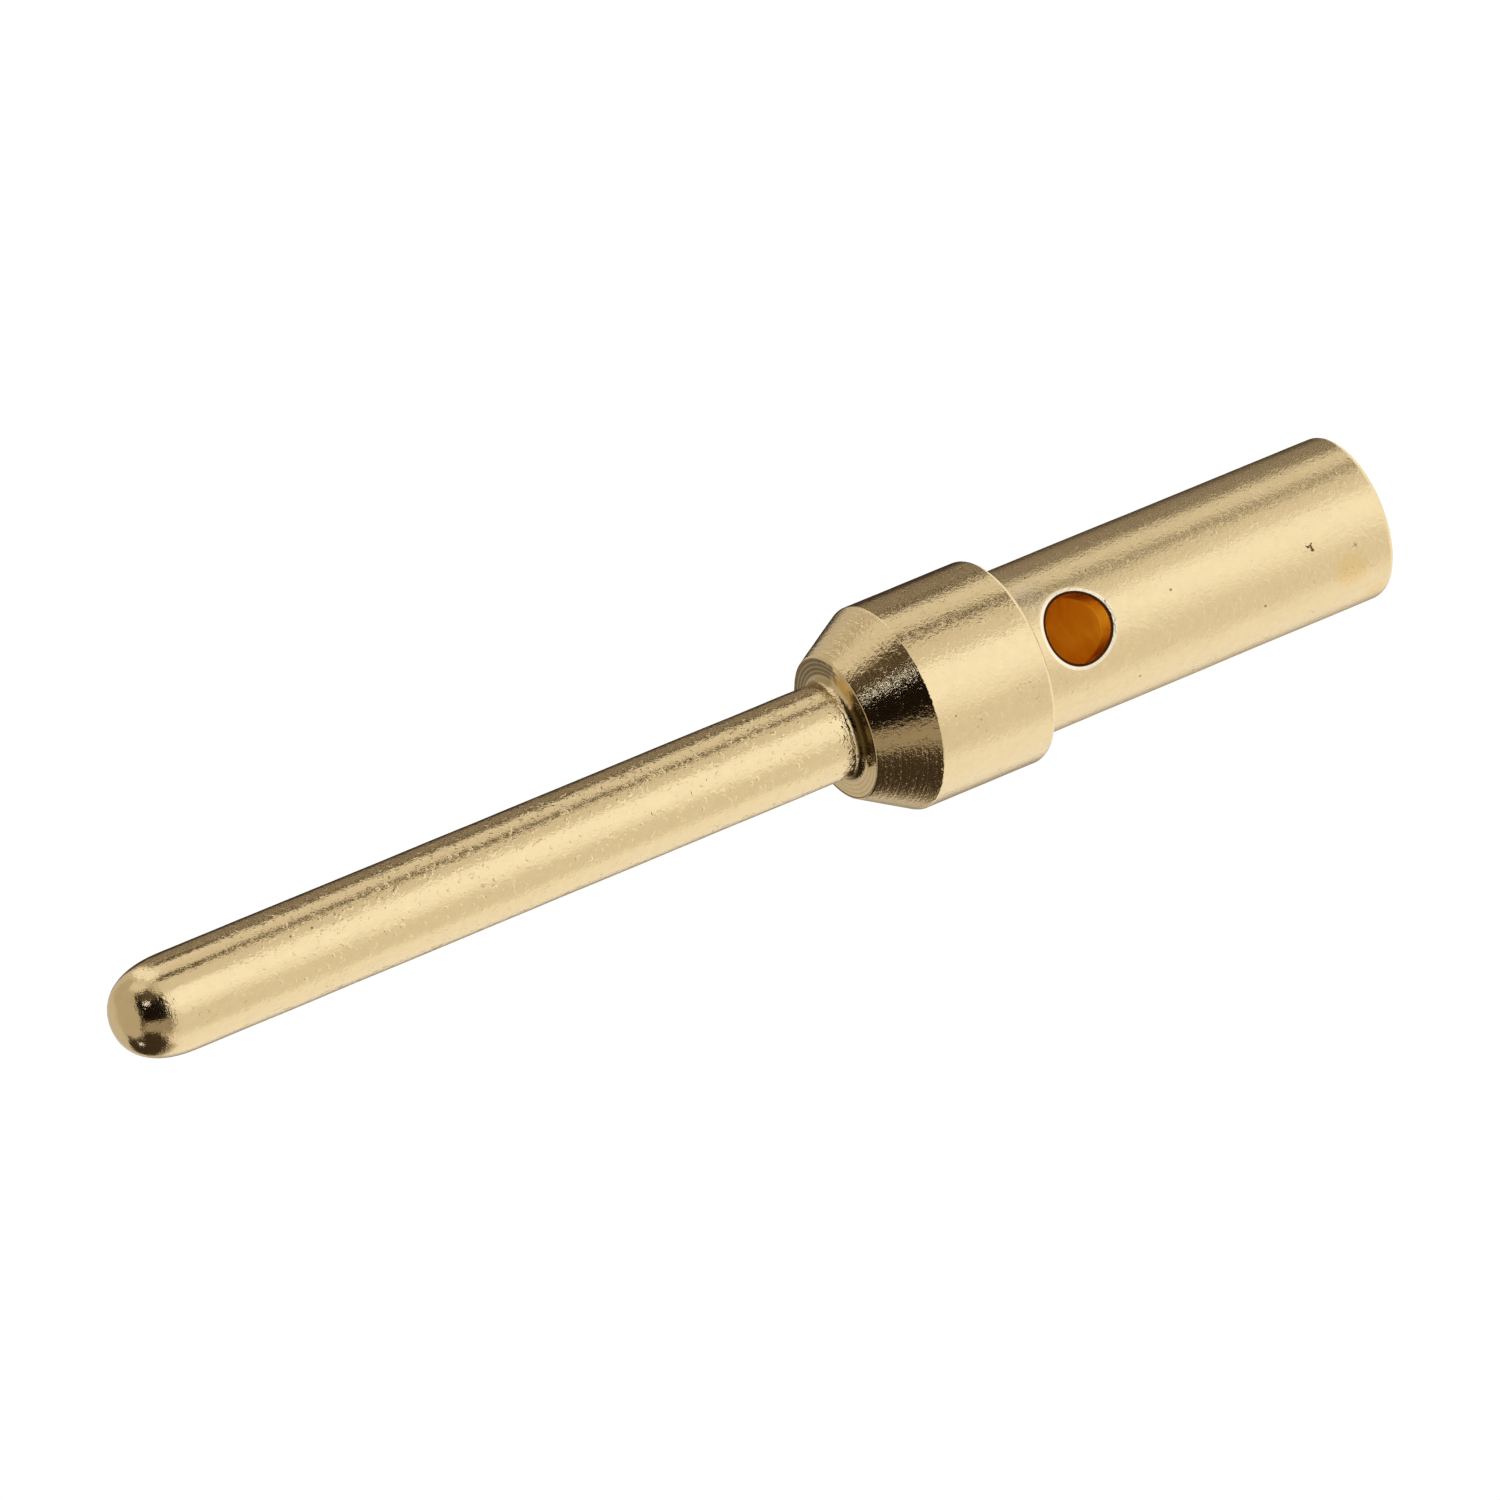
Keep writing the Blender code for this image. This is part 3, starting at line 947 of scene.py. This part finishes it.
# %% Hang the cards
TENT = 0.49
LOWEST = -95
WINDOW_A = [(-29, 6), (28, 6), (70, 31), (70, 39), (38, 56), (-31, 60)]
LIT_SIDE_OF_A = [(24, 14), (60, 14), (70, 31), (60, 37), (24, 37)]
BRIGHT_EDGE_END = [(104, -8), (134, -8), (128, -2), (104, 6)]
WALL_BESIDE_A = [(58, 12), (100, 10), (100, 27), (66, 28)]
WINDOW_B = [(-153, -3), (-88, 5), (-62, 20), (-62, 50), (-153, 50)]
SILL_OF_B = [(-150, -8), (-100, -4), (-95, 6), (-150, 0)]
CARDS = [
    # what it is, its corners, softness, brightness
    ("bright skirt", upright(-152, 48, LOWEST, 5), 26, 0.93),
    ("skirt, dark side", upright(95, 215, LOWEST, 5), 12, 0.66),
    ("tan card", upright(-80, -30, LOWEST, 3), 14, 0.76),
    ("key card", upright(-14, 26, LOWEST, 5), 12, 1.03),
    ("side card", upright(27, 102, LOWEST, 4), 8, 0.715),
    ("bright border of the side card", upright(89, 102, LOWEST, 4), 5, 0.79),
    ("side strip", upright(58, 68, LOWEST, 0), 4, 0.05),
    ("dark side", upright(106, 185, LOWEST, -11), 5, 0.11),
    ("nearest thing in the dark", upright(114, 118, LOWEST, -11), 3, 0.60),
    ("next thing in the dark", upright(126, 130, LOWEST, -11), 3, 0.52),
    ("last thing in the dark", upright(138, 142, LOWEST, -11), 3, 0.52),
    ("frame of the dark side", upright(101, 109, LOWEST, -11), 3, 0.05),
    ("dark edge behind", upright(150, 184, LOWEST, -12), 6, 0.05),
    ("lower edge behind", upright(184, 206, LOWEST, -12), 6, 0.36),
    ("edge light", upright(72, 106, -8, 8), 5, 0.95),
    ("edge light behind", upright(106, 165, -8, 4), 6, 0.56),
    ("bright end of the edge light behind", BRIGHT_EDGE_END, 4, 0.95),
    ("light behind the tip", upright(148, 212, 10, 44), 14, 0.60),
    ("strip between the windows", upright(-64, -27, 6, 60), 6, 0.34),
    ("window A", WINDOW_A, 3, 0.008),
    ("lit side of window A", LIT_SIDE_OF_A, 8, 0.09),
    ("wall beside window A", WALL_BESIDE_A, 5, 0.74),
    ("sill of window B", SILL_OF_B, 6, 0.38),
    ("window B", WINDOW_B, 3, 0.045),
    ("window frame", upright(-66, -25, 3, 8), 3, 0.20),
    ("link of the windows", upright(-66, -25, 52, 60), 4, 0.10),
    ("glint A", upright(23.5, 30.5, 30.5, 37.5), 2, 2.0),
    ("glint B", upright(-120, -114, 33, 39), 2, 2.0),
]
brightness_now = azimuth * 0.0 + TENT
for _, corners_of_card, softness, brightness in CARDS:
    brightness_now = hang_card(brightness_now, corners_of_card, softness, brightness)
print("cards hung:", len(CARDS))

# %% [markdown]
# The sheet that the contact stands on is white and fully lit, so whatever faces down mirrors white.

# %% Light the sheet below
SHEET_STARTS = -33.0
SHEET_IS_FULL = -41.0
below = smooth_step(elevation, SHEET_IS_FULL, SHEET_STARTS, 1.0, 0.0)
brightness_now = blend(brightness_now, 1.0, below)

# %% [markdown]
# Dim parts of a warm room are warmer than its lamps, so the darker a direction is, the more its green and
# blue fall away. Only the deepest shade gets a little daylight back. The camera itself sees plain white past
# the floor's edge.

# %% Warm the shadows and light the World
GREEN_FALL = 1.16
BLUE_FALL = 1.42
DAYLIGHT_FALL = 4.0
DAYLIGHT_GREEN = 0.10
DAYLIGHT_BLUE = 0.22
darkness = maths("MAXIMUM", 1.0 - brightness_now, 0.0)
daylight = brightness_now * maths("POWER", darkness, DAYLIGHT_FALL)
warm = place_node(studio_tree, "ShaderNodeCombineColor", {
    "Red": brightness_now,
    "Green": maths("POWER", brightness_now, GREEN_FALL) + daylight * DAYLIGHT_GREEN,
    "Blue": maths("POWER", brightness_now, BLUE_FALL) + daylight * DAYLIGHT_BLUE})
seen = place_node(studio_tree, "ShaderNodeMix", data_type="RGBA")
feed(seen.inputs["Factor"], output(studio_tree.nodes.new("ShaderNodeLightPath"), "Is Camera Ray"))
feed(seen.inputs["A"], output(warm))
seen.inputs["B"].default_value = (1.0, 1.0, 1.0, 1.0)
studio_tree.links.new(seen.outputs["Result"], background.inputs["Color"])
background.inputs["Strength"].default_value = 1.0
print("studio tree has", len(studio_tree.nodes), "nodes")

# %% [markdown]
# ## The floor
# The contact stands on a plain white sheet. In the photo the sheet is lit until it is pure white, so here it
# glows by itself. It takes no part in the reflections, because the World already holds a lit sheet below.

# %% Lay the floor
FLOOR_SIZE = 40.0
SHEET_GREY = (0.22, 0.22, 0.22, 1.0)
SHEET_GLOW = 0.96
floor_mesh = bpy.data.meshes.new("floor")
half_floor = FLOOR_SIZE / 2
floor_mesh.from_pydata(
    [(-half_floor, -half_floor, 0.0), (half_floor, -half_floor, 0.0),
     (half_floor, half_floor, 0.0), (-half_floor, half_floor, 0.0)], [], [(0, 1, 2, 3)])
floor = bpy.data.objects.new("floor", floor_mesh)
bpy.context.scene.collection.objects.link(floor)
sheet = bpy.data.materials.new("white_sheet")
sheet.use_nodes = True
sheet_shader = sheet.node_tree.nodes["Principled BSDF"]
sheet_shader.inputs["Base Color"].default_value = SHEET_GREY
sheet_shader.inputs["Roughness"].default_value = 1.0
sheet_shader.inputs["Specular IOR Level"].default_value = 0.0
sheet_shader.inputs["Emission Color"].default_value = (1.0, 1.0, 1.0, 1.0)
sheet_shader.inputs["Emission Strength"].default_value = SHEET_GLOW
floor_mesh.materials.append(sheet)
floor.visible_glossy = False
floor.visible_diffuse = False
floor.visible_shadow = False
print("floor is", FLOOR_SIZE, "metres wide")

# %% [markdown]
# ## The camera
# The photograph looks down at the contact from 24.9 degrees above its side, with a long lens, and the picture
# is rolled so that the pin points to the lower left.

# %% Set up the camera
VIEW_ELEVATION = 24.856
VIEW_ROLL = -112.483
VIEW_DISTANCE = 109.9
AIM_BELOW_TIP = 7.0
AIM_RIGHT = 0.1658
AIM_UP = 0.2024
LENS = 270.4
SENSOR_WIDTH = 36.0
camera_data = bpy.data.cameras.new("camera")
camera_data.lens = LENS
camera_data.sensor_width = SENSOR_WIDTH
camera_data.clip_start = 0.001
camera_data.clip_end = 100.0
camera = bpy.data.objects.new("camera", camera_data)
bpy.context.scene.collection.objects.link(camera)
bpy.context.scene.camera = camera
tilt = Matrix.Rotation(radians(90 - VIEW_ELEVATION), 4, "X")
facing = tilt @ Matrix.Rotation(radians(VIEW_ROLL), 4, "Z")
aim = Vector((0.0, 0.0, TIP_Z - AIM_BELOW_TIP))
eye = aim + facing.to_3x3() @ Vector((AIM_RIGHT, AIM_UP, VIEW_DISTANCE))
camera.matrix_world = Matrix.Translation(eye * MM) @ facing
print("camera at", [round(value, 3) for value in eye], "mm")

# %% [markdown]
# The Standard view transform keeps white white. In the wire bore, light goes from wall to wall many times
# before it comes out again, so more glossy bounces are allowed than by default.

# %% Set up the picture
GLOSSY_BOUNCES = 12
bpy.context.scene.view_settings.view_transform = "Standard"
bpy.context.scene.cycles.glossy_bounces = GLOSSY_BOUNCES
print("glossy bounces:", GLOSSY_BOUNCES)

# %% [markdown]
# The CAD solid stays in the file, hidden, beside the dressed part. The box of the dressed part must
# lie inside the box of the solid.
